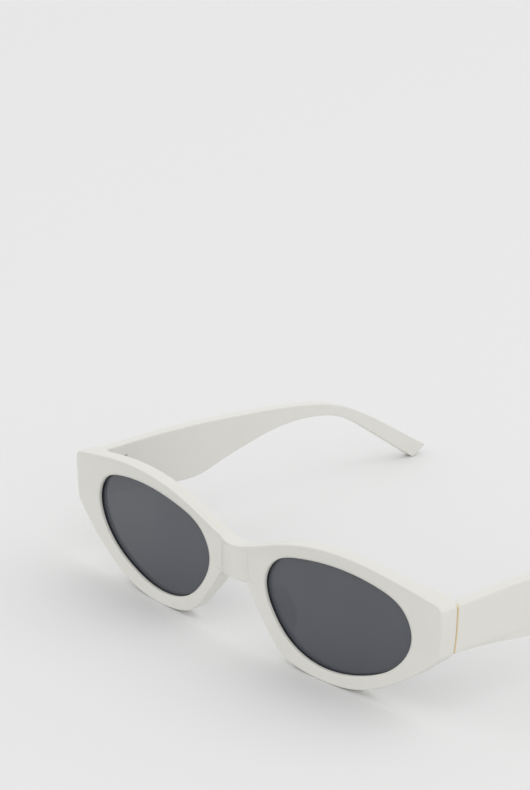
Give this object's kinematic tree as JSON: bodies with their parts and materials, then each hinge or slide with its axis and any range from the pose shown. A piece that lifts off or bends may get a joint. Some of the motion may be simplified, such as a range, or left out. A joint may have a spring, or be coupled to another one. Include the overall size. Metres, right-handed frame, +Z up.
{
  "type": "cat eye sunglasses",
  "caption": "Cat-eye sunglasses: curved off-white plastic front with oval smoke lenses, wide temples that fold on metal hinges, thin gold plate at each temple root.",
  "frame": {"origin": "middle of the underside of the whole pair's bounding box, on the surface it stands on", "axes": "+Z up; the front faces -Y and the open temples run back along +Y; +X is the wearer's left"},
  "size_m": [0.142, 0.1424, 0.0368],
  "materials": {
    "ivory_plastic": "smooth, softly glossy, opaque off-white",
    "pad_plastic": "smooth off-white",
    "smoke_lens": "polished, dark grey tint, see-through",
    "hinge_steel": "fine satin",
    "screw_steel": "turned, slotted",
    "gold_metal": "polished, warm gold",
    "core_steel": "drawn wire"
  },
  "bodies": {
    "front": {"front_frame": "ivory_plastic", "lens_left": "smoke_lens", "nose_pad_left": "pad_plastic", "front_hinge_left": "hinge_steel", "front_hinge_fixings_left": "screw_steel", "hinge_screw_left": "screw_steel", "lens_right": "smoke_lens", "nose_pad_right": "pad_plastic", "front_hinge_right": "hinge_steel", "front_hinge_fixings_right": "screw_steel", "hinge_screw_right": "screw_steel"},
    "temple_left_arm": {"temple_left": "ivory_plastic", "temple_core_left": "core_steel", "temple_hinge_left": "hinge_steel", "temple_hinge_fixings_left": "screw_steel", "end_plate_left": "gold_metal"},
    "temple_right_arm": {"temple_right": "ivory_plastic", "temple_core_right": "core_steel", "temple_hinge_right": "hinge_steel", "temple_hinge_fixings_right": "screw_steel", "end_plate_right": "gold_metal"}
  },
  "joints": [
    {"name": "fold_left", "type": "hinge", "parent": "front", "child": "temple_left_arm", "pos_m": [0.066, -0.06032, 0.02502], "axis": [0, 0, 1], "range_deg": [0, 90]},
    {"name": "fold_right", "type": "hinge", "parent": "front", "child": "temple_right_arm", "pos_m": [-0.066, -0.06032, 0.02502], "axis": [0, 0, -1], "range_deg": [0, 80]}
  ]
}
